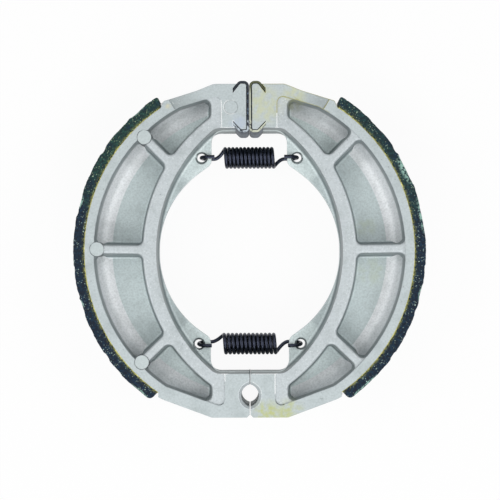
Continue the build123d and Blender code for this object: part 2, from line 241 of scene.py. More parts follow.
class ShaderGraph(NodeGraph):
    """A material's node tree, with the patterns that the finishes share."""

    def __init__(self, name: str) -> None:
        """Make an empty material that reads its place from Object coordinates."""
        self.material = bpy.data.materials.new(name)
        self.material.use_nodes = True
        super().__init__(self.material.node_tree)
        self.tree.nodes.clear()
        self.place = self.node("ShaderNodeTexCoord").outputs["Object"]
        split = self.node("ShaderNodeSeparateXYZ", inputs={0: self.place})
        self.x, self.y, self.z = (Value(self, socket) for socket in split.outputs)

    def noise(self, size: float, detail: float = 3.0, roughness: float = 0.55, shift: float = 0.0) -> Value:
        """Give smooth noise from 0 to 1.

        Args:
            size: The size of its largest patches, in metres.
            detail: How many finer layers it has.
            roughness: How strong the finer layers are.
            shift: A distance that sets it apart from another noise of the same size.

        Returns:
            The noise.
        """
        moved = self.node("ShaderNodeVectorMath", {"operation": "ADD"}, {0: self.place, 1: (shift, shift, 0)})
        inputs = {"Vector": moved.outputs[0], "Scale": 1 / size, "Detail": detail, "Roughness": roughness}
        return Value(self, self.node("ShaderNodeTexNoise", inputs=inputs).outputs["Fac"])

    def flecks(self, size: float, share: float) -> Value:
        """Give small round spots, 1 inside a spot and 0 outside.

        Args:
            size: The mean distance between the spots, in metres.
            share: How far a spot reaches, as a share of that distance.

        Returns:
            The spots.
        """
        spots = self.node("ShaderNodeTexVoronoi", inputs={"Vector": self.place, "Scale": 1 / size})
        return Value(self, spots.outputs["Distance"]).rise(share, share * 0.45)

    def attribute(self, name: str) -> Value:
        """Give a number that the mesh keeps for each of its points."""
        return Value(self, self.node("ShaderNodeAttribute", {"attribute_name": name}).outputs["Fac"])

    def distance(self, x: float, y: float) -> Value:
        """Give the distance in plan from a point."""
        return ((self.x - x) ** 2.0 + (self.y - y) ** 2.0) ** 0.5

    def mix(self, factor: Number, first: object, second: object) -> Socket:
        """Mix two colours.

        Args:
            factor: How much of the second colour shows.
            first: A colour or a colour socket.
            second: A colour or a colour socket.

        Returns:
            The mixed colour's socket.
        """
        colours = [(*c, 1.0) if isinstance(c, tuple) else c for c in (first, second)]
        inputs = {0: factor, 6: colours[0], 7: colours[1]}
        return self.node("ShaderNodeMix", {"data_type": "RGBA"}, inputs).outputs[2]

    def bump(self, height: Value, depth: float, edge_radius: float = 0.0) -> Socket:
        """Turn a height into a normal.

        Args:
            height: The height, from 0 to 1.
            depth: The height's full depth in metres.
            edge_radius: How round the sharp edges look.

        Returns:
            The normal's socket.
        """
        inputs = {"Height": height, "Distance": depth}
        if edge_radius:
            rounded = self.node("ShaderNodeBevel", {"samples": 6}, {"Radius": edge_radius})
            inputs["Normal"] = rounded.outputs[0]
        return self.node("ShaderNodeBump", inputs=inputs).outputs[0]

    def inside(self, low: PlanPoint, high: PlanPoint) -> Value:
        """Give 1 inside a box in plan and 0 outside, with soft sides.

        Args:
            low: The box's low corner.
            high: Its high corner.

        Returns:
            The mask.
        """
        soft = 0.4 * MM
        across = self.x.rise(low[0], low[0] + soft) * self.x.rise(high[0], high[0] - soft)
        return across * self.y.rise(low[1], low[1] + soft) * self.y.rise(high[1], high[1] - soft)

    def edges(self, radius: float) -> Value:
        """Give 1 near the sharp edges and 0 away from them.

        Args:
            radius: How far from an edge the mask reaches.

        Returns:
            The mask.
        """
        rounded = self.node("ShaderNodeBevel", {"samples": 6}, {"Radius": radius}).outputs[0]
        true = self.node("ShaderNodeNewGeometry").outputs["Normal"]
        match = self.node("ShaderNodeVectorMath", {"operation": "DOT_PRODUCT"}, {0: rounded, 1: true})
        return (1.0 - Value(self, match.outputs["Value"])).rise(0.005, 0.07)

    def surface(self, **inputs: object) -> Material:
        """End the graph in a Principled surface.

        Args:
            inputs: The shader's sockets, with underscores for the spaces in their names.

        Returns:
            The finished material.
        """
        named = {name.replace("_", " "): value for name, value in inputs.items()}
        shader = self.node("ShaderNodeBsdfPrincipled", inputs=named)
        self.node("ShaderNodeOutputMaterial", inputs={"Surface": shader.outputs[0]})
        return self.material


class GeometryGraph(NodeGraph):
    """A Geometry Nodes tree with named sizes."""

    def __init__(self, name: str, sizes: Mapping[str, float]) -> None:
        """Make a tree with a geometry input that becomes a curve, and a number for each size."""
        tree = bpy.data.node_groups.new(name, "GeometryNodeTree")
        super().__init__(tree)
        tree.interface.new_socket("Geometry", in_out="INPUT", socket_type="NodeSocketGeometry")
        tree.interface.new_socket("Geometry", in_out="OUTPUT", socket_type="NodeSocketGeometry")
        self.sizes = dict(sizes)
        self.names = {}
        for size in sizes:
            socket = tree.interface.new_socket(size, in_out="INPUT", socket_type="NodeSocketFloat")
            self.names[size] = socket.identifier
        self.entry = self.node("NodeGroupInput")
        self.curve = self.node("GeometryNodeMeshToCurve", inputs={0: self.entry.outputs[0]}).outputs[0]

    def size(self, name: str) -> Value:
        """Give the value of a named size."""
        return Value(self, self.entry.outputs[name])

    def tube(self, width: Number, radius: Number, sides: int, caps: bool) -> Socket:
        """Sweep a circle along the curve and shade it smoothly.

        Args:
            width: The circle's scale along the curve.
            radius: The circle's radius.
            sides: How many sides the circle has.
            caps: Whether the ends are closed.

        Returns:
            The swept mesh's socket.
        """
        scaled = self.node("GeometryNodeSetCurveRadius", inputs={"Curve": self.curve, "Radius": width})
        circle = self.node("GeometryNodeCurvePrimitiveCircle", inputs={"Resolution": sides, "Radius": radius})
        inputs = {
            "Curve": scaled.outputs[0],
            "Profile Curve": circle.outputs[0],
            "Scale": self.node("GeometryNodeInputRadius").outputs[0],
            "Fill Caps": caps,
        }
        swept = self.node("GeometryNodeCurveToMesh", inputs=inputs)
        return self.node("GeometryNodeSetShadeSmooth", inputs={0: swept.outputs[0]}).outputs[0]

    def end(self, parts: Sequence[Socket], material: Material) -> None:
        """Join the parts, realize them, give them their material and end the tree.

        Args:
            parts: The geometry sockets to join.
            material: What they are made of.
        """
        joined = self.node("GeometryNodeJoinGeometry")
        for part in parts:
            self.tree.links.new(part, joined.inputs[0])
        real = self.node("GeometryNodeRealizeInstances", inputs={0: joined.outputs[0]})
        inputs = {"Geometry": real.outputs[0], "Material": material}
        dressed = self.node("GeometryNodeSetMaterial", inputs=inputs)
        self.node("NodeGroupOutput", inputs={0: dressed.outputs[0]})

    def grow(self, name: str, start: bpy.types.Mesh) -> bpy.types.Object:
        """Run the tree on a mesh and keep the result as a plain mesh object.

        Args:
            name: The new piece's name.
            start: The mesh that the tree starts from.

        Returns:
            The new object, with no modifier left.
        """
        carrier = link(name + "_carrier", start)
        modifier = carrier.modifiers.new("grow", "NODES")
        modifier.node_group = self.tree
        for size, identifier in self.names.items():
            modifier[identifier] = self.sizes[size]
        grown = bpy.data.meshes.new_from_object(carrier.evaluated_get(bpy.context.evaluated_depsgraph_get()))
        bpy.data.objects.remove(carrier)
        return link(name, grown)


def link(name: str, mesh: bpy.types.Mesh) -> bpy.types.Object:
    """Make an object of a mesh and put it in the scene.

    Args:
        name: The object's name.
        mesh: Its mesh.

    Returns:
        The new object.
    """
    made = bpy.data.objects.new(name, mesh)
    bpy.context.scene.collection.objects.link(made)
    return made


def polyline(name: str, lines: Sequence[Sequence[Sequence[float]]]) -> bpy.types.Mesh:
    """Make a mesh of open polylines.

    Args:
        name: The mesh's name.
        lines: The points of each line, in order.

    Returns:
        The mesh, which has edges and no faces.
    """
    points = [tuple(point) for line in lines for point in line]
    edges = []
    first = 0
    for line in lines:
        edges += [(first + step, first + step + 1) for step in range(len(line) - 1)]
        first += len(line)
    mesh = bpy.data.meshes.new(name)
    mesh.from_pydata(points, edges, [])
    return mesh


@dataclass(frozen=True)
class Stain:
    """A soft patch of another colour on a casting, placed in plan."""

    centre: PlanPoint
    radius: float
    colour: Colour
    strength: float


@dataclass(frozen=True)
class Ring:
    """A fine dark ring round a smooth disc on a casting's upper side, placed in plan; it draws the lines of
    the ejector marks and the painted shade in the spring holes' mouths.
    """

    centre: PlanPoint
    strength: float
    disc_strength: float = 0.0
    radius: float = 2.55 * MM
    half_width: float = 0.16 * MM


@dataclass(frozen=True)
class EdgeMark:
    """A line of another colour along the sharp edges inside a box in plan."""

    low: PlanPoint
    high: PlanPoint
    colour: Colour
    strength: float = 0.85


@dataclass(frozen=True)
class FacetShade:
    """Painted shade on the relief facet of the rim, darkest at its sharp outer end and fading along it,
    placed in plan.
    """

    start: PlanPoint
    angle: float
    length: float = 12.5 * MM
    half_width: float = 4.2 * MM
    strength: float = 0.5

    def share(self, graph: ShaderGraph) -> Value:
        """Work out how strongly the painted shade darkens the relief facet, fading along its length.

        Args:
            graph: The metal's graph.

        Returns:
            The share of painted shade, from 0 to its strength.
        """
        turn = math.radians(self.angle)
        off_x, off_y = graph.x - self.start[0], graph.y - self.start[1]
        along = (off_x * math.cos(turn) + off_y * math.sin(turn)) / self.length
        across = abs(off_x * math.sin(turn) - off_y * math.cos(turn))
        inside = along.rise(0.0, 0.015) * across.rise(self.half_width, self.half_width * 0.8)
        return inside * along.rise(1.0, 0.05) * self.strength


@dataclass(frozen=True)
class CastAluminium:
    """Dull die-cast aluminium, smooth in the fillet under the rim and rough on the flange, with painted light
    and shade: a painted highlight in the fillet, the flange and the pockets painted lighter, and painted
    shade on the steep walls, in the corners, on the rim's facet and in the cap's slits.
    """

    name: str
    rim_centre: PlanPoint
    stains: tuple[Stain, ...] = ()
    rings: tuple[Ring, ...] = ()
    facet: FacetShade | None = None
    marks: tuple[EdgeMark, ...] = ()
    face: Colour = tone(181, 190, 192)
    # Painted light: the flange is a little lighter than the faces.
    flange: Colour = tone(186, 193, 196)
    # Painted light: the pockets are lighter than the faces, and the end pockets lighter still, to cancel
    # their shade.
    pocket_painted_light: Colour = tone(202, 214, 215)
    end_pocket_painted_light: Colour = tone(224, 236, 236)
    # Painted highlight for the fillet under the rim.
    fillet: Colour = tone(238, 241, 243)
    # Painted shade for the steep walls and the corners.
    wall: Colour = tone(104, 113, 117)
    disc: Colour = tone(182, 193, 192)
    rub: Colour = tone(240, 244, 244)
    # Dark mottling of the metal, and painted shade on the rim's facet.
    dirt_and_shade: Colour = tone(112, 123, 122)
    # Dark ring lines and pits, and painted shadow in the cap's slits and the spring holes' mouths.
    flash_and_shade: Colour = tone(38, 46, 52)
    middle: float = 14.0 * MM
    face_height: float = 13.9 * MM
    flange_height: float = 13.5 * MM
    fillet_top: float = 5.0 * MM
    wall_shade_share: float = 0.75
    web_height: float = 2.0 * MM
    fillet_start: float = 51.7 * MM
    rim_end: float = 58.1 * MM
    block_half: float = 11.0 * MM
    edge_radius: float = 0.35 * MM
    line_radius: float = 0.5 * MM
    corner_reach: float = 1.8 * MM
    relief_depth: float = 0.12 * MM
    fillet_fade: float = 1.9 * MM
    wall_shade_fade: float = 0.5 * MM
    line_low: float = 12.9 * MM
    slit_reach: float = 7.1 * MM
    slit_start: float = 40.0 * MM
    slit_top: float = 13.4 * MM
    slit_low: float = 12.4 * MM
    metal_share: float = 0.3
    cloud_share: float = 0.22
    grain_share: float = 0.26
    pit_share: float = 0.35
    corner_shade_share: float = 0.55
    speck_share: float = 0.35
    spot_share: float = 0.5
    slit_shadow_share: float = 0.9

    def material(self) -> Material:
        """Build the finish as a material."""
        graph = ShaderGraph(self.name)
        height = abs(graph.z - self.middle)
        on_face = height.rise(self.flange_height - 2 * MM, self.flange_height)
        grain = graph.noise(0.7 * MM, detail=4.0, roughness=0.65)
        pits = graph.noise(1.1 * MM, detail=2.0, shift=0.31).rise(0.69, 0.78) * on_face
        colour = self._bare_metal(graph, height, on_face)
        clouds = graph.noise(6 * MM, detail=4.0).rise(0.45, 0.75) * self.cloud_share
        for share in (clouds, grain.rise(0.35, 0.7) * self.grain_share, pits * self.pit_share):
            colour = graph.mix(share, colour, self.dirt_and_shade)
        colour = self._stained(graph, colour)
        # Painted shade on the rim's facet, darkest at its outer end.
        if self.facet:
            colour = graph.mix(self.facet.share(graph) * on_face, colour, self.dirt_and_shade)
        colour = self._marked(graph, colour, height, on_face)
        swell = graph.noise(3.5 * MM, detail=2.0, shift=0.05)
        relief = grain * 0.35 + swell * 0.65 - pits * 0.6
        return graph.surface(
            Base_Color=colour,
            Metallic=self.metal_share,
            Roughness=0.44 + grain * 0.16,
            Normal=graph.bump(relief, self.relief_depth, self.edge_radius),
        )

    def _bare_metal(self, graph: ShaderGraph, height: Value, on_face: Value) -> Socket:
        """Colour the clean metal by its place: faces; flanges and pockets, painted lighter; the fillet, with
        a painted highlight; and walls and corners, with painted shade.

        Args:
            graph: The material's graph.
            height: The distance from the casting's middle plane.
            on_face: 1 on the faces and flanges and 0 below them.

        Returns:
            The colour's socket.
        """
        off_x, off_y = graph.x - self.rim_centre[0], graph.y - self.rim_centre[1]
        reach = graph.distance(*self.rim_centre)
        within = reach.rise(self.rim_end + 0.5 * MM, self.rim_end)
        at_end = (abs(off_y) / abs(off_x)).rise(0.97, 1.07)
        # Painted light: the pockets, and the small end pockets more, are painted lighter to cancel their
        # shade.
        recess = graph.mix(within, self.face, graph.mix(at_end, self.pocket_painted_light, self.end_pocket_painted_light))
        on_flange = height.rise(self.face_height, self.flange_height + 0.1 * MM)
        # Painted light: the flange is painted a little lighter than the faces, for the side light that its
        # rough face catches.
        colour = graph.mix(on_face, recess, graph.mix(on_flange, self.face, self.flange))
        facing = graph.node("ShaderNodeTexCoord").outputs["Normal"]
        split = graph.node("ShaderNodeSeparateXYZ", inputs={0: facing})
        normal_x, normal_y = Value(graph, split.outputs[0]), Value(graph, split.outputs[1])
        # Painted highlight: the fillet under the rim is painted bright, away from the ribs and the blocks.
        on_rib = abs((normal_y * off_x - normal_x * off_y) / reach).rise(0.2, 0.6)
        off_blocks = abs(graph.x).rise(self.block_half, self.block_half + 1.5 * MM)
        band = reach.rise(self.fillet_start, self.fillet_start + 0.3 * MM) * within
        by_rim = band * off_blocks * (1.0 - on_rib)
        colour = graph.mix(by_rim * height.rise(12 * MM, 8 * MM), colour, self.fillet)
        # Painted shade on the steep walls: above the fillet by the rim, above the web elsewhere, up to just
        # under the flange.
        shade_start = self.fillet_top * by_rim + self.web_height * (1.0 - by_rim)
        above = (height - shade_start) / (by_rim * self.fillet_fade + self.wall_shade_fade)
        below = height.rise(self.flange_height - 0.25 * MM, self.flange_height - 0.8 * MM)
        colour = graph.mix(above.rise(0.0, 1.0) * within * below * self.wall_shade_share, colour, self.wall)
        # Painted shade in the corners below the faces, away from the fillet, where ambient occlusion finds
        # them shut in.
        inputs = {"Distance": self.corner_reach, "Color": (1, 1, 1, 1)}
        open_sky = graph.node("ShaderNodeAmbientOcclusion", {"samples": 6, "only_local": True}, inputs)
        shut_in = (1.0 - Value(graph, open_sky.outputs["AO"])).rise(0.1, 0.45)
        corner = shut_in * (1.0 - by_rim) * (1.0 - on_face)
        return graph.mix(corner * self.corner_shade_share, colour, self.wall)

    def _stained(self, graph: ShaderGraph, colour: Socket) -> Socket:
        """Lay the stains and the rings over a colour; the rings of the spring holes' mouths are painted
        shade.

        Args:
            graph: The material's graph.
            colour: The colour that they lie on.

        Returns:
            The colour's socket.
        """
        uneven = graph.noise(2.2 * MM, detail=3.0, shift=0.17)
        lit = graph.z.rise(9 * MM, 17 * MM)
        for stain in self.stains:
            near = graph.distance(*stain.centre).rise(stain.radius, stain.radius * 0.3)
            colour = graph.mix(near * uneven.rise(0.3, 0.62) * lit * stain.strength, colour, stain.colour)
        upper = graph.z.rise(self.middle, self.middle + 1 * MM)
        for ring in self.rings:
            reach = graph.distance(*ring.centre)
            disc = reach.rise(ring.radius, ring.radius - 0.1 * MM) * upper
            colour = graph.mix(disc * ring.disc_strength, colour, self.disc)
            line = abs(reach - ring.radius).rise(ring.half_width, ring.half_width * 0.3) * upper
            colour = graph.mix(line * uneven.rise(0.3, 0.5) * ring.strength, colour, self.flash_and_shade)
        return colour

    def _marked(
        self, graph: ShaderGraph, colour: Socket, height: Value, on_face: Value
    ) -> Socket:
        """Lay the flange's specks, the dark spots, the lines on edges, whose white ones are painted
        highlights, and the painted shadow in the cap's slits over a colour.

        Args:
            graph: The material's graph.
            colour: The colour that they lie on.
            height: The distance from the casting's middle plane.
            on_face: 1 on the faces and flanges and 0 below them.

        Returns:
            The colour's socket.
        """
        on_flange = height.rise(self.face_height, self.flange_height + 0.1 * MM) * on_face
        specks = graph.flecks(0.8 * MM, 0.3) * graph.noise(1.4 * MM, shift=0.63).rise(0.48, 0.58)
        colour = graph.mix(specks * on_flange * self.speck_share, colour, self.rub)
        colour = graph.mix(graph.flecks(3.2 * MM, 0.08) * on_face * self.spot_share, colour, self.flash_and_shade)
        near_edge = graph.edges(self.line_radius) * height.rise(self.line_low, self.line_low + 0.3 * MM)
        for mark in self.marks:
            share = near_edge * graph.inside(mark.low, mark.high) * mark.strength
            colour = graph.mix(share, colour, mark.colour)
        # Painted shadow in the slits that hold the cap's ends.
        by_slit = abs(graph.x).rise(self.slit_reach + 0.2 * MM, self.slit_reach)
        by_slit = by_slit * graph.y.rise(self.slit_start - 0.5 * MM, self.slit_start)
        in_slit = height.rise(self.slit_top + 0.1 * MM, self.slit_top)
        in_slit = in_slit * height.rise(self.slit_low, self.slit_low + 0.2 * MM)
        return graph.mix(by_slit * in_slit * self.slit_shadow_share, colour, self.flash_and_shade)


@dataclass(frozen=True)
class FrictionLining:
    """Moulded friction compound, near black with pale green and yellow grains."""

    name: str
    green_share: float = 0.0
    dark: Colour = tone(5, 17, 31)
    teal: Colour = tone(20, 46, 66)
    green: Colour = tone(38, 74, 66)
    dark_green: Colour = tone(14, 36, 38)
    pale: Colour = tone(180, 206, 196)
    straw: Colour = tone(180, 204, 150)
    olive: Colour = tone(136, 140, 84)
    bare: Colour = tone(150, 188, 176)
    fine_share: float = 0.6
    coarse_share: float = 0.9
    root_share: float = 0.8
    chip_share: float = 0.9

    def material(self) -> Material:
        """Build the finish as a material."""
        graph = ShaderGraph(self.name)
        chip, root = graph.attribute("chip"), graph.attribute("root")
        grain = graph.noise(0.9 * MM, detail=4.0, roughness=0.7)
        uneven_y = graph.y + graph.noise(7 * MM, shift=0.8) * (60 * MM)
        to_cam = uneven_y.rise(38 * MM, 60 * MM) * self.green_share
        blotch = graph.noise(3.4 * MM, detail=2.0, shift=0.5).rise(0.3, 0.5)
        tint = graph.mix(to_cam * blotch, self.teal, self.green)
        ground = graph.mix(to_cam, self.dark, self.dark_green)
        colour = graph.mix(grain.rise(0.4, 0.68), ground, tint)
        grains = graph.mix(to_cam * 0.8, self.pale, self.straw)
        fine = graph.flecks(0.62 * MM, 0.36) * graph.noise(1.5 * MM, shift=0.4).rise(0.48, 0.6)
        colour = graph.mix(fine * self.fine_share, colour, grains)
        coarse = graph.flecks(1.7 * MM, 0.17) * graph.noise(2.6 * MM, shift=0.7).rise(0.46, 0.56)
        colour = graph.mix(coarse * self.coarse_share, colour, grains)
        ragged = root * graph.noise(0.7 * MM, shift=0.9).rise(0.44, 0.56)
        colour = graph.mix(ragged * self.root_share, colour, self.olive)
        worn = chip.rise(0.1, 0.6) * graph.noise(0.9 * MM, detail=4.0, shift=0.2).rise(0.42, 0.52)
        colour = graph.mix(worn * self.chip_share, colour, self.bare)
        return graph.surface(
            Base_Color=colour,
            Roughness=0.72 + grain * 0.2,
            Specular_IOR_Level=0.3,
            Normal=graph.bump(grain * 0.7 + fine * 0.3, 0.16 * MM),
        )


@dataclass(frozen=True)
class CuredAdhesive:
    """Yellow adhesive that was pressed out and has set."""

    name: str = "cured_adhesive"
    clear: Colour = tone(216, 212, 120)
    brown: Colour = tone(130, 126, 60)

    def material(self) -> Material:
        """Build the finish as a material."""
        graph = ShaderGraph(self.name)
        patches = graph.noise(1.6 * MM, detail=4.0, roughness=0.65)
        colour = graph.mix(patches.rise(0.35, 0.65), self.brown, self.clear)
        return graph.surface(
            Base_Color=colour,
            Roughness=0.35 + patches * 0.25,
            Normal=graph.bump(graph.noise(0.5 * MM), 0.05 * MM),
        )


@dataclass(frozen=True)
class BlackedWire:
    """Oiled black spring wire."""

    name: str = "blacked_wire"
    black: Colour = tone(6, 7, 10)
    worn: Colour = tone(34, 39, 52)

    def material(self) -> Material:
        """Build the finish as a material."""
        graph = ShaderGraph(self.name)
        rubbed = graph.noise(1.2 * MM, detail=4.0, roughness=0.6)
        colour = graph.mix(rubbed.rise(0.5, 0.75) * 0.5, self.black, self.worn)
        return graph.surface(
            Base_Color=colour,
            Roughness=0.15 + rubbed * 0.2,
            Specular_IOR_Level=0.6,
            Specular_Tint=(0.6, 0.68, 1.0, 1.0),
            Normal=graph.bump(rubbed, 0.02 * MM),
        )


@dataclass(frozen=True)
class SawnWire:
    """Bright steel where the wire was cut."""

    name: str = "cut_wire"
    steel: Colour = tone(214, 220, 230)
    burr: Colour = tone(70, 76, 86)

    def material(self) -> Material:
        """Build the finish as a material."""
        graph = ShaderGraph(self.name)
        scratches = graph.noise(0.4 * MM)
        colour = graph.mix(scratches.rise(0.4, 0.7), self.steel, self.burr)
        return graph.surface(Base_Color=colour, Metallic=0.9, Roughness=0.4)


@dataclass(frozen=True)
class CapSteel:
    """Blue-grey pressed steel whose cut edges are rubbed pale below and stay dark at the top."""

    name: str
    top_edge: Colour
    low_edge: Colour
    line_reach: float = 0.0
    wall: Colour = tone(74, 90, 108)
    rust: Colour = tone(44, 50, 58)
    black: Colour = tone(22, 27, 36)
    depth: float = 13.45 * MM
    middle: float = 14.0 * MM
    top_start: float = 56.5 * MM
    foot_end: float = 45.0 * MM
    pale_share: float = 0.85

    def material(self) -> Material:
        """Build the finish as a material."""
        graph = ShaderGraph(self.name)
        patches = graph.noise(1.8 * MM, detail=4.0, roughness=0.6)
        colour = graph.mix(patches.rise(0.42, 0.62), self.wall, self.rust)
        edge = abs(graph.z - self.middle).rise(self.depth, self.depth + 0.2 * MM)
        to_top = (graph.y + patches * (3 * MM)).rise(self.top_start, self.top_start + 2.5 * MM)
        rubbed = graph.noise(1.5 * MM, detail=3.0, shift=0.6).rise(0.36, 0.48)
        pale = graph.mix(rubbed * self.pale_share, self.rust, self.low_edge)
        upright = graph.mix(patches.rise(0.5, 0.6), self.black, self.wall)
        line = abs(graph.x).rise(self.line_reach + 0.1 * MM, self.line_reach) * self.pale_share
        upright = graph.mix(line, upright, self.low_edge)
        to_foot = graph.y.rise(self.foot_end + 1 * MM, self.foot_end)
        low_edge = graph.mix(to_foot, upright, pale)
        colour = graph.mix(edge, colour, graph.mix(to_top, low_edge, self.top_edge))
        return graph.surface(
            Base_Color=colour,
            Metallic=0.6,
            Roughness=0.42 + patches * 0.2,
            Normal=graph.bump(patches, 0.03 * MM),
        )


@dataclass(frozen=True)
class SolidPiece:
    """A piece that keeps its CAD form and takes a finish: a casting, a cap or a band of adhesive."""

    node: str

    def dress(self, material: Material) -> bpy.types.Object:
        """Give the piece its material.

        Args:
            material: The finish as a material.

        Returns:
            The CAD node, which stays where it is.
        """
        solid = bpy.data.objects[self.node]
        solid.data.materials.clear()
        solid.data.materials.append(material)
        return solid


@dataclass(frozen=True)
class ShoeArc:
    """The arc that one shoe's lining follows, seen in plan."""

    side: Side
    drum_radius: float = 65.0 * MM
    centre_drop: float = 0.65 * MM
    cam_angle: float = 56.0
    anchor_angle: float = 54.8

    @property
    def centre(self) -> PlanPoint:
        """Give the arc's centre, worked out from the lining's box."""
        low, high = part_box(f"{self.side.value}_lining")
        edge_x = low.x if self.side is Side.LEFT else high.x
        return (edge_x - self.side.outward * self.drum_radius, -self.centre_drop)

    def place(self, radius: Numbers, angle: Numbers) -> tuple[Numbers, Numbers]:
        """Give x and y at a radius and an angle about the arc's centre.

        Args:
            radius: One radius, or one for each point.
            angle: One angle in radians, or one for each point.

        Returns:
            The places' x, and their y.
        """
        centre_x, centre_y = self.centre
        return centre_x + self.side.outward * radius * np.cos(angle), centre_y + radius * np.sin(angle)


@dataclass(frozen=True)
class SplitShadowStrip:
    """A dark strip in the split between the two heels that stands in for the shadow there; it fills most of
    the split and is stuck to the left shoe.
    """

    low: Point = (-0.14 * MM, -47.9 * MM, 5.0 * MM)
    high: Point = (0.06 * MM, -43.6 * MM, 25.5 * MM)
    colour: Colour = tone(66, 84, 88)

    def build(self) -> bpy.types.Object:
        """Build the dark strip that stands in for the shadow.

        Returns:
            The strip, riding on the left shoe's body.
        """
        work = bmesh.new()
        bmesh.ops.create_cube(work, size=1.0)
        low, high = Vector(self.low), Vector(self.high)
        for vertex in work.verts:
            share = vertex.co + Vector((0.5, 0.5, 0.5))
            vertex.co = Vector(low[axis] + (high[axis] - low[axis]) * share[axis] for axis in range(3))
        mesh = bpy.data.meshes.new("split_shadow_strip")
        work.to_mesh(mesh)
        work.free()
        graph = ShaderGraph("split_shadow_strip")
        mesh.materials.append(graph.surface(Base_Color=(*self.colour, 1.0), Roughness=0.9))
        piece = link("heel_split_shadow", mesh)
        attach(piece, Side.LEFT.value)
        return piece


@dataclass(frozen=True)
class Chip:
    """A place on the lining's outer edge where compound has broken away."""

    angle: float
    half_length: float
    depth: float
    reach: float = 1.1 * MM


@dataclass
class BrakeLining:
    """One moulded lining: a rounded arc with rough sides, ragged edges and chips."""

    arc: ShoeArc
    chips: tuple[Chip, ...] = ()
    thickness: float = 3.9 * MM
    cam_lead: float = 2.1
    anchor_lead: float = -0.5
    corner_radius: float = 1.9 * MM
    edge_radius: float = 0.3 * MM
    pitch: float = 0.5 * MM
    roughness: float = 0.24 * MM
    raggedness: float = 0.42 * MM
    ragged_reach: float = 1.2 * MM
    ragged_drop: float = 5.0 * MM
    skin: float = 0.6 * MM
    side_skin: float = 0.5 * MM
    chip_depth: float = 0.55 * MM
    chip_drop: float = 4.0 * MM
    grain: float = 0.9 * MM
    seed: float = 3.7

    def build(self, finish: FrictionLining) -> bpy.types.Object:
        """Build the lining and dress it.

        Args:
            finish: The compound's finish.

        Returns:
            The lining, riding on its shoe's body.
        """
        side = self.arc.side
        node = f"{side.value}_lining"
        low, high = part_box(node)
        inner = self.arc.drum_radius - self.thickness
        span = math.radians(self.arc.cam_angle + self.arc.anchor_angle)
        lengths = (span * (inner + self.thickness / 2), self.thickness, high.z - low.z)
        flat, faces = rounded_block(lengths, self.edge_radius, self.corner_radius, self.pitch)
        share = flat / np.array(lengths)
        along, across = share[:, 0], share[:, 1]
        start = -self.arc.anchor_angle - self.anchor_lead * across
        end = self.arc.cam_angle + self.cam_lead * across
        angle = np.radians(start + (end - start) * along)
        reach, depth = self._wear(flat, lengths, np.degrees(angle))
        x, y = self.arc.place(inner + flat[:, 1] + reach, angle)
        z = low.z + flat[:, 2] + depth
        mesh = bpy.data.meshes.new(node)
        mesh.from_pydata(np.column_stack((x, y, z)).tolist(), [], faces)
        self._mark(mesh, "chip", self._chipping(flat, lengths, np.degrees(angle)))
        self._mark(mesh, "root", np.clip(1 - flat[:, 1] / self.grain, 0, 1))
        outward_faces(mesh)
        mesh.materials.append(finish.material())
        piece = link(f"{side.value}_friction_lining", mesh)
        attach(piece, side.value)
        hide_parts(node)
        return piece

    def _chipping(self, flat: np.ndarray, lengths: Sequence[float], angle: np.ndarray) -> np.ndarray:
        """Work out how much each point belongs to a chip of the outer edge.

        Args:
            flat: The block's points before it is bent.
            lengths: The block's length, thickness and width.
            angle: Each point's angle along the lining, in degrees.

        Returns:
            A share for each point, from 0 to 1.
        """
        top = (lengths[2] - flat[:, 2]) / self.chip_drop
        total = np.zeros(len(flat))
        for chip in self.chips:
            near_edge = np.clip(1 - np.hypot((lengths[1] - flat[:, 1]) / chip.reach, top), 0, 1)
            along = np.clip(1 - np.abs(angle - chip.angle) / chip.half_length, 0, 1)
            total = np.maximum(total, near_edge * np.sqrt(along) * chip.depth)
        return total

    def _wear(
        self, flat: np.ndarray, lengths: Sequence[float], angle: np.ndarray
    ) -> tuple[np.ndarray, np.ndarray]:
        """Work out how far each point is moved by roughness, ragged edges and chips.

        Args:
            flat: The block's points before it is bent.
            lengths: The block's length, thickness and width.
            angle: Each point's angle along the lining, in degrees.

        Returns:
            The moves along the radius, and the moves up and down.
        """
        samples = [Vector(point) / self.grain + Vector((self.seed, 0, 0)) for point in flat]
        fine = np.array([noise.fractal(point, 0.9, 2.1, 3) for point in samples])
        slow = np.array([noise.noise(point * 0.28 + Vector((9, 2, self.seed))) for point in samples])
        to_outer = lengths[1] - flat[:, 1]
        to_side = np.minimum(flat[:, 2], lengths[2] - flat[:, 2])
        by_corner = np.clip(1 - np.hypot(to_outer / self.ragged_reach, to_side / self.ragged_drop), 0, 1)
        ragged = by_corner * np.clip(slow * 2.2, 0, 1)
        chipped = self._chipping(flat, lengths, angle)
        free = np.clip(flat[:, 1] / self.skin, 0, 1)
        sideways = np.sign(flat[:, 2] - lengths[2] / 2) * np.clip(1 - to_side / self.side_skin, 0, 1)
        loss = ragged * self.raggedness + chipped * self.chip_depth
        reach = free * (np.minimum(fine, 0) * self.roughness * np.clip(1 - to_outer / self.skin, 0, 1) - loss)
        depth = sideways * (np.minimum(fine, 0) * self.roughness - loss * 0.8 * free)
        return reach, depth

    @staticmethod
    def _mark(mesh: bpy.types.Mesh, name: str, values: np.ndarray) -> None:
        """Keep a number for each point on the mesh."""
        attribute = mesh.attributes.new(name, "FLOAT", "POINT")
        attribute.data.foreach_set("value", values.astype(np.float32))


def knots(length: float, radius: float, pitch: float) -> np.ndarray:
    """Space points along a side, close together over its rounded ends.

    Args:
        length: The side's length.
        radius: The radius of its ends.
        pitch: The spacing between them.

    Returns:
        The points' places from 0 to the length.
    """
    ends = np.linspace(0, radius, 4)
    count = max(2, round((length - 2 * radius) / pitch) + 1)
    middle = np.linspace(radius, length - radius, count)[1:-1]
    return np.concatenate((ends, middle, length - ends[::-1]))


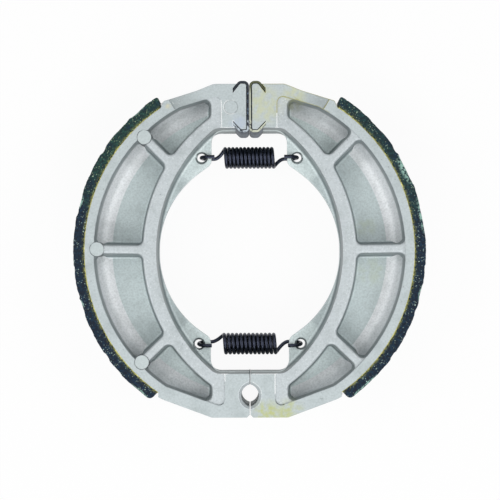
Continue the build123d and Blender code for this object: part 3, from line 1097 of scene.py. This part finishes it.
def rounded_block(
    lengths: Sequence[float], edge_radius: float, corner_radius: float, pitch: float
) -> tuple[np.ndarray, list[tuple[int, ...]]]:
    """Make the surface of a block whose edges are rounded, and its outer end corners more so.

    Args:
        lengths: The block's length, thickness and width.
        edge_radius: The radius of every edge.
        corner_radius: The radius of the two end corners on the outer face.
        pitch: The spacing of the points.

    Returns:
        The points, and the faces as tuples of point numbers.
    """
    spacing = [knots(length, edge_radius, pitch) for length in lengths]
    counts = [len(row) for row in spacing]
    numbers: dict[tuple[int, int, int], int] = {}
    faces = []
    for axis in range(3):
        first, second = (axis + 1) % 3, (axis + 2) % 3
        for level in (0, counts[axis] - 1):
            for i in range(counts[first] - 1):
                for j in range(counts[second] - 1):
                    corners = []
                    for di, dj in ((0, 0), (1, 0), (1, 1), (0, 1)):
                        key = [0, 0, 0]
                        key[axis], key[first], key[second] = level, i + di, j + dj
                        corners.append(numbers.setdefault(tuple(key), len(numbers)))
                    faces.append(tuple(corners) if level else tuple(reversed(corners)))
    keys = np.array(list(numbers))
    points = np.column_stack([spacing[axis][keys[:, axis]] for axis in range(3)])
    plan = points[:, :2]
    limits = np.array(lengths[:2])
    core = np.clip(plan, corner_radius, limits - corner_radius)
    core[:, 1] = np.minimum(plan[:, 1], limits[1] - corner_radius)
    off = plan - core
    length = np.maximum(np.linalg.norm(off, axis=1), 1e-12)
    square = np.abs(off).max(axis=1)
    both = (np.abs(off) > 1e-9).all(axis=1)
    plan = np.where(both[:, None], core + off * (square / length)[:, None], plan)
    points = np.column_stack((plan, points[:, 2]))
    sizes = np.array(lengths)
    core = np.clip(points, edge_radius, sizes - edge_radius)
    off = points - core
    length = np.linalg.norm(off, axis=1)
    scale = np.where(length > edge_radius, edge_radius / np.maximum(length, 1e-12), 1.0)
    return core + off * scale[:, None], faces


def outward_faces(mesh: bpy.types.Mesh) -> None:
    """Merge a mesh's doubles, turn its faces outwards and shade it smoothly.

    Args:
        mesh: The mesh, which is changed in place.
    """
    work = bmesh.new()
    work.from_mesh(mesh)
    bmesh.ops.remove_doubles(work, verts=work.verts, dist=0.002 * MM)
    bmesh.ops.recalc_face_normals(work, faces=work.faces)
    for face in work.faces:
        face.smooth = True
    work.to_mesh(mesh)
    work.free()


@dataclass(frozen=True)
class Lump:
    """A drop of adhesive that was pressed out, placed by angle and radius."""

    angle: float
    radius: float
    size: float


@dataclass
class BondLine:
    """The adhesive under one lining: the CAD band and the uneven bead along its edges."""

    arc: ShoeArc
    lumps: tuple[Lump, ...] = ()
    seat_radius: float = 61.0 * MM
    bead_radius: float = 0.3 * MM
    bead_inset: float = 0.05 * MM
    drop_spacing: float = 1.3 * MM
    drop_radius: float = 0.26 * MM
    drop_chance: float = 0.55
    bead_unevenness: float = 420.0
    bead_sides: int = 8
    lump_sink: float = 0.7
    lump_height: float = 0.8
    lump_wobble: float = 0.25
    steps: int = 200
    seed: int = 11

    def build(self, finish: CuredAdhesive) -> bpy.types.Object:
        """Dress the band and build the bead that was pressed out beside it.

        Args:
            finish: The adhesive's finish.

        Returns:
            The bead, riding on its shoe's body.
        """
        side = self.arc.side.value
        node = f"{side}_bond_line"
        material = finish.material()
        SolidPiece(node).dress(material)
        low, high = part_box(node)
        levels = (low.z + self.bead_inset, high.z - self.bead_inset)
        angles = np.linspace(-self.arc.anchor_angle, self.arc.cam_angle, self.steps)
        plan = [self.arc.place(self.seat_radius, math.radians(angle)) for angle in angles]
        lines = [[(*place, level) for place in plan] for level in levels]
        graph = self._tree(material)
        piece = graph.grow(f"{side}_squeeze_out", polyline(node + "_edges", lines))
        self._add_lumps(piece, high.z)
        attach(piece, side)
        return piece

    def _tree(self, material: Material) -> GeometryGraph:
        """Build the tree that lays an uneven bead and drops along the edges it is given.

        Args:
            material: The adhesive's material.

        Returns:
            The tree.
        """
        sizes = {
            "Bead Radius": self.bead_radius,
            "Drop Spacing": self.drop_spacing,
            "Drop Radius": self.drop_radius,
        }
        graph = GeometryGraph("squeeze_out", sizes)
        place = graph.node("GeometryNodeInputPosition").outputs[0]
        inputs = {"Vector": place, "Scale": self.bead_unevenness}
        uneven = Value(graph, graph.node("ShaderNodeTexNoise", inputs=inputs).outputs[0])
        width = uneven.rise(0.36, 0.68) * 0.85 + 0.1
        bead = graph.tube(width, graph.size("Bead Radius"), self.bead_sides, False)
        inputs = {"Curve": graph.curve, "Length": graph.size("Drop Spacing")}
        points = graph.node("GeometryNodeCurveToPoints", {"mode": "LENGTH"}, inputs).outputs[0]
        ball = graph.node("GeometryNodeMeshIcoSphere", inputs={0: graph.size("Drop Radius"), 1: 2}).outputs[0]
        inputs = {6: self.drop_chance, 8: self.seed}
        chance = graph.node("FunctionNodeRandomValue", {"data_type": "BOOLEAN"}, inputs).outputs[3]
        inputs = {"Points": points, "Selection": chance, "Instance": ball}
        drops = graph.node("GeometryNodeInstanceOnPoints", inputs=inputs).outputs[0]
        graph.end([bead, drops], material)
        return graph

    def _add_lumps(self, piece: bpy.types.Object, top: float) -> None:
        """Add the larger drops at the lining's ends to the bead's mesh.

        Args:
            piece: The bead.
            top: The height of the adhesive's upper edge.
        """
        work = bmesh.new()
        work.from_mesh(piece.data)
        for lump in self.lumps:
            made = bmesh.ops.create_icosphere(work, subdivisions=3, radius=lump.size)
            place = self.arc.place(lump.radius, math.radians(lump.angle))
            centre = Vector((*place, top - lump.size * self.lump_sink))
            for vertex in made["verts"]:
                swell = noise.noise(vertex.co / (0.5 * MM) + Vector((lump.angle, 0, 0)))
                wide = 1 + self.lump_wobble * swell
                x, y, z = vertex.co
                vertex.co = Vector((x * wide, y * wide, z * self.lump_height)) + centre
            for face in {f for v in made["verts"] for f in v.link_faces}:
                face.smooth = True
        work.to_mesh(piece.data)
        work.free()


@dataclass
class ReturnSpring:
    """One close-wound tension spring with a hook at each end, swept along its centreline."""

    name: str
    pitch: float
    hook_twist: float
    wire_diameter: float = 1.33 * MM
    turns: float = 12.5
    web_half: float = 2.0 * MM
    hook_clearance: float = 0.2 * MM
    tip_reach: float = 1.9 * MM
    leg_reach: float = 1.6 * MM
    lead_length: float = 2.2 * MM
    steps_per_turn: int = 56
    lead_steps: int = 28
    bend_steps: int = 32
    sides: int = 18

    def build(self, finish: BlackedWire, cut: SawnWire) -> bpy.types.Object:
        """Build the spring between the two shoes.

        Args:
            finish: The wire's finish.
            cut: The finish of its cut ends.

        Returns:
            The spring.
        """
        wire = finish.material()
        graph = GeometryGraph(self.name + "_wire", {"Wire Radius": self.wire_diameter / 2})
        graph.end([graph.tube(1.0, graph.size("Wire Radius"), self.sides, True)], wire)
        piece = graph.grow(f"{self.name}_wire", polyline(self.name, [self.centreline()]))
        piece.data.materials.append(cut.material())
        for polygon in piece.data.polygons:
            if len(polygon.vertices) > 4:
                polygon.material_index = 1
                polygon.use_smooth = False
        leg = self._bend()[1] - self.leg_reach
        low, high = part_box(self.name)
        middle = (low + high) / 2
        start, end = ((sign * leg, middle.y, middle.z) for sign in (-1, 1))
        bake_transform(piece)
        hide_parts(self.name)
        return piece

    def _bend(self) -> tuple[float, float]:
        """Give the hook's bend radius and how far from the middle its centre lies."""
        low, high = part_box(self.name)
        radius = self.web_half + self.hook_clearance + self.wire_diameter / 2
        return radius, (high.x - low.x) / 2 - self.wire_diameter / 2 - radius

    def centreline(self) -> list[Vector]:
        """Work out the wire's centreline: hook, lead, coil, lead and hook."""
        low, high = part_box(self.name)
        middle = (low + high) / 2
        coil_radius = (high.y - low.y - self.wire_diameter) / 2
        count = round(self.turns * self.steps_per_turn)
        length = self.turns * self.pitch
        coil = []
        for step in range(count + 1):
            turn = math.tau * self.turns * step / count
            x = -length / 2 + length * step / count
            coil.append(Vector((x, coil_radius * math.cos(turn), coil_radius * math.sin(turn))))
        left = self._hook(coil[0], coil[0] - coil[1], self.hook_twist)
        turned = Vector((-coil[-1].x, -coil[-1].y, coil[-1].z))
        before = Vector((-coil[-2].x, -coil[-2].y, coil[-2].z))
        right = self._hook(turned, turned - before, -self.hook_twist)
        right = [Vector((-point.x, -point.y, point.z)) for point in right]
        return [point + middle for point in [*left[::-1], *coil[1:-1], *right]]

    def _hook(self, start: Vector, direction: Vector, twist: float) -> list[Vector]:
        """Work out a left-hand hook from the coil's end to its tip.

        Args:
            start: The coil's end.
            direction: Which way the wire leaves it.
            twist: How far the hook is turned about the spring's axis, in degrees.

        Returns:
            The hook's points, starting at the coil's end.
        """
        radius, reach = self._bend()
        turn = math.radians(twist)

        def turned(x: float, z: float) -> Vector:
            """Place a point of the hook's plane."""
            return Vector((x, -z * math.sin(turn), z * math.cos(turn)))

        leg = turned(-reach + self.leg_reach, -radius)
        pull = direction.normalized() * self.lead_length
        handles = (start, start + pull, leg + Vector((self.lead_length, 0, 0)), leg)
        points = [bezier(handles, share) for share in np.linspace(0, 1, self.lead_steps, endpoint=False)]
        points += [leg.lerp(turned(-reach, -radius), share) for share in np.linspace(0, 1, 4, endpoint=False)]
        for swing in np.linspace(0, math.pi, self.bend_steps + 1):
            points.append(turned(-reach - radius * math.sin(swing), -radius * math.cos(swing)))
        tip = turned(-reach + self.tip_reach, radius)
        last = points[-1]
        return points + [last.lerp(tip, share) for share in np.linspace(0, 1, 6)[1:]]


def bezier(handles: Sequence[Vector], share: float) -> Vector:
    """Give a point of a cubic curve.

    Args:
        handles: The curve's four handles.
        share: How far along it the point lies, from 0 to 1.

    Returns:
        The point.
    """
    rest = 1 - share
    weights = (rest**3, 3 * rest**2 * share, 3 * rest * share**2, share**3)
    return sum((handle * weight for handle, weight in zip(handles, weights)), Vector((0, 0, 0)))


@dataclass(frozen=True)
class Softbox:
    """A square soft lamp that faces the object, placed by its direction."""

    azimuth: float
    zenith: float
    distance: float
    size: float
    power: float

    def hang(self, name: str) -> None:
        """Hang the lamp in the studio.

        Args:
            name: The lamp's name.
        """
        turn, lean = math.radians(self.azimuth), math.radians(self.zenith)
        direction = Vector((math.sin(lean) * math.cos(turn), math.sin(lean) * math.sin(turn), math.cos(lean)))
        light = bpy.data.lights.new(name, "AREA")
        light.size = self.size
        light.energy = self.power
        lamp = bpy.data.objects.new(name, light)
        lamp.location = direction * self.distance
        lamp.rotation_euler = (-direction).to_track_quat("-Z", "Y").to_euler()
        bpy.context.scene.collection.objects.link(lamp)


@dataclass
class Studio:
    """The pale floor, the soft lamps and the camera straight above."""

    camera_height: float = 648.0 * MM
    frame_width: float = 176.85 * MM
    axis_point: PlanPoint = (0.07 * MM, -10.03 * MM)
    view_centre: PlanPoint = (0.11 * MM, -0.3 * MM)
    roll: float = -0.18
    sensor: float = 36.0
    floor_size: float = 3.0
    floor_glow: float = 0.94
    world_light: float = 0.34
    softboxes: tuple[Softbox, ...] = (
        Softbox(0.0, 44.0, 0.85, 0.5, 2.3),
        Softbox(180.0, 44.0, 0.85, 0.5, 2.3),
        Softbox(270.0, 44.0, 0.85, 0.5, 3.1),
        Softbox(90.0, 44.0, 0.85, 0.5, 0.6),
    )

    def build(self) -> None:
        """Build the floor, the world, the lamps and the camera."""
        self._floor()
        self._world()
        for number, softbox in enumerate(self.softboxes):
            softbox.hang(f"softbox_{number}")
        self._camera()

    def _floor(self) -> None:
        """Lay a white floor that shows faint shadows."""
        half = self.floor_size / 2
        corners = [(-half, -half, 0), (half, -half, 0), (half, half, 0), (-half, half, 0)]
        mesh = bpy.data.meshes.new("floor")
        mesh.from_pydata(corners, [], [(0, 1, 2, 3)])
        floor = link("floor", mesh)
        graph = ShaderGraph("white_floor")
        paper = graph.node("ShaderNodeBsdfDiffuse", inputs={"Color": (0.8, 0.8, 0.8, 1)})
        glow = graph.node("ShaderNodeEmission", inputs={"Color": (1, 1, 1, 1), "Strength": 1.0})
        share = graph.white_rays() * self.floor_glow
        mixed = graph.node("ShaderNodeMixShader", inputs={0: share, 1: paper.outputs[0], 2: glow.outputs[0]})
        graph.node("ShaderNodeOutputMaterial", inputs={"Surface": mixed.outputs[0]})
        mesh.materials.append(graph.material)
        floor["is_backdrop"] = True

    def _world(self) -> None:
        """Light everything evenly, and show white to the camera and in reflections."""
        world = bpy.data.worlds.new("studio")
        world.use_nodes = True
        bpy.context.scene.world = world
        world.node_tree.nodes.clear()
        graph = NodeGraph(world.node_tree)
        strength = graph.white_rays() * (1 - self.world_light) + self.world_light
        back = graph.node("ShaderNodeBackground", inputs={"Color": (1, 1, 1, 1), "Strength": strength})
        graph.node("ShaderNodeOutputWorld", inputs={"Surface": back.outputs[0]})

    def _camera(self) -> None:
        """Set the camera over the object as the photograph's was."""
        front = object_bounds()[1].z
        data = bpy.data.cameras.new("camera")
        data.sensor_width = self.sensor
        data.lens = self.sensor * self.camera_height / self.frame_width
        data.shift_x = (self.view_centre[0] - self.axis_point[0]) / self.frame_width
        data.shift_y = (self.view_centre[1] - self.axis_point[1]) / self.frame_width
        data.clip_start = 0.05
        data.clip_end = 10.0
        camera = bpy.data.objects.new("camera", data)
        camera.location = (*self.axis_point, front + self.camera_height)
        camera.rotation_euler = (0, 0, math.radians(self.roll))
        bpy.context.scene.collection.objects.link(camera)
        bpy.context.scene.camera = camera
        bpy.context.scene.view_settings.view_transform = "Standard"


@dataclass(frozen=True)
class ShoeLook:
    """What sets one shoe apart: its metal, its cap, its compound, its chips and its drops of adhesive."""

    metal: CastAluminium
    cap: CapSteel
    compound: FrictionLining
    chips: tuple[Chip, ...]
    lumps: tuple[Lump, ...]


def spring_mouths() -> tuple[Ring, ...]:
    """Give the painted shade in the countersunk mouths of the four spring holes."""
    places = (at(-17.2, 33.0), at(17.2, 33.0), at(-18.35, -33.9), at(18.35, -33.9))
    return tuple(Ring(place, 0.75, radius=1.95 * MM, half_width=0.45 * MM) for place in places)


def ejector_rings(rim_centre: PlanPoint) -> tuple[Ring, ...]:
    """Give the left shoe's ejector marks: one on the cam block and three beside the rim.

    Args:
        rim_centre: The centre of the rim's curve.

    Returns:
        The rings, the cam block's first.
    """
    reach = 56.6 * MM
    rings = [Ring(at(-6.47, 50.28), 0.4, radius=2.37 * MM)]
    for angle in (-43.9, 0.8, 45.5):
        turn = math.radians(angle)
        place = (rim_centre[0] - reach * math.cos(turn), rim_centre[1] + reach * math.sin(turn))
        rings.append(Ring(place, 0.8, disc_strength=0.35))
    return tuple(rings)


def left_look() -> ShoeLook:
    """Describe the left shoe, its ejector side up."""
    rim_centre = at(2.5, -0.65)
    white = tone(250, 252, 252)
    metal = CastAluminium(
        "left_aluminium",
        rim_centre,
        stains=(
            Stain(at(-4.0, 44.6), 4.2 * MM, tone(170, 182, 200), 0.6),
            Stain(at(-28.5, 50.4), 1.6 * MM, tone(206, 196, 150), 0.5),
        ),
        rings=(*ejector_rings(rim_centre), *spring_mouths()),
        facet=FacetShade(at(-27.4, 51.3), 32.0),
        marks=(
            # Painted highlights: white lines along the step edges at the cam block and at the anchor end.
            EdgeMark(at(-10.4, 42.4), at(-5.0, 53.0), white),
            EdgeMark(at(-10.4, -47.0), at(-7.4, -43.4), white),
            EdgeMark(at(-12.0, -55.4), at(-8.4, -54.2), tone(60, 70, 74)),
            # Painted highlight on the edges of the anchor hole's chamfer.
            EdgeMark(at(-6.2, -57.0), at(0.0, -45.0), tone(226, 232, 236)),
        ),
    )
    return ShoeLook(
        metal,
        CapSteel("left_cap_steel", tone(44, 50, 58), tone(190, 200, 208)),
        FrictionLining("left_compound", green_share=1.0),
        (Chip(15.8, 2.4, 1.0), Chip(49.4, 3.0, 0.8), Chip(-17.1, 2.0, 0.9), Chip(-50.0, 4.0, 0.7)),
        (Lump(57.6, 61.4 * MM, 0.9 * MM), Lump(-56.2, 61.2 * MM, 0.6 * MM)),
    )


def right_look() -> ShoeLook:
    """Describe the right shoe, which is the same casting turned over and more stained."""
    white, yellow = tone(250, 252, 252), tone(190, 192, 140)
    old_yellow, green = tone(172, 178, 104), tone(186, 198, 172)
    metal = CastAluminium(
        "right_aluminium",
        at(-2.5, -0.65),
        stains=(
            Stain(at(5.0, 51.0), 9.0 * MM, yellow, 0.5),
            Stain(at(16.0, 54.0), 5.5 * MM, yellow, 0.6),
            Stain(at(6.0, -58.5), 6.5 * MM, old_yellow, 0.8),
            Stain(at(14.0, -58.0), 6.5 * MM, old_yellow, 0.7),
            Stain(at(44.0, -8.0), 7.0 * MM, green, 0.4),
            Stain(at(42.0, 8.0), 5.0 * MM, green, 0.4),
        ),
        rings=spring_mouths(),
        facet=FacetShade(at(27.4, 51.3), 148.0),
        marks=(
            # Painted highlight: a white line along the block step's edge.
            EdgeMark(at(9.0, 42.4), at(10.6, 54.0), white),
            EdgeMark(at(4.0, 48.0), at(32.0, 60.0), tone(150, 146, 60)),
            # Painted highlight: a white line along the anchor end's step edges.
            EdgeMark(at(0.6, -51.5), at(10.0, -43.6), white),
            EdgeMark(at(8.8, -56.0), at(12.4, -52.8), tone(60, 70, 74)),
            # Painted highlight on the edges of the anchor hole's chamfer.
            EdgeMark(at(0.0, -57.0), at(6.2, -51.0), tone(226, 232, 236)),
        ),
    )
    return ShoeLook(
        metal,
        CapSteel("right_cap_steel", tone(84, 88, 62), tone(206, 210, 190), 0.5 * MM),
        FrictionLining("right_compound", green_share=0.6),
        (
            Chip(26.4, 5.2, 1.0, 3.0 * MM),
            Chip(11.2, 6.4, 0.7, 2.2 * MM),
            Chip(-13.4, 3.0, 0.7),
            Chip(-48.0, 6.0, 1.0),
        ),
        (Lump(57.2, 61.3 * MM, 0.5 * MM), Lump(-55.8, 61.4 * MM, 0.7 * MM)),
    )


def main() -> None:
    """Build the object and its studio."""
    logging.basicConfig(level=logging.INFO, format="%(message)s")
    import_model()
    for side, look in ((Side.LEFT, left_look()), (Side.RIGHT, right_look())):
        arc = ShoeArc(side)
        for made in (
            SolidPiece(f"{side.value}_shoe").dress(look.metal.material()),
            SolidPiece(f"{side.value}_wear_cap").dress(look.cap.material()),
            BrakeLining(arc, look.chips).build(look.compound),
            BondLine(arc, look.lumps).build(CuredAdhesive()),
        ):
            LOG.info("%s: %d faces", made.name, len(made.data.polygons))
    # A dark strip stands in for the shadow in the heels' split.
    SplitShadowStrip().build()
    springs = (ReturnSpring("cam_spring", 1.40 * MM, -5.0), ReturnSpring("anchor_spring", 1.49 * MM, 12.0))
    for spring in springs:
        made = spring.build(BlackedWire(), SawnWire())
        LOG.info("%s: %d faces", made.name, len(made.data.polygons))
    Studio().build()


if __name__ == "__main__":
    main()
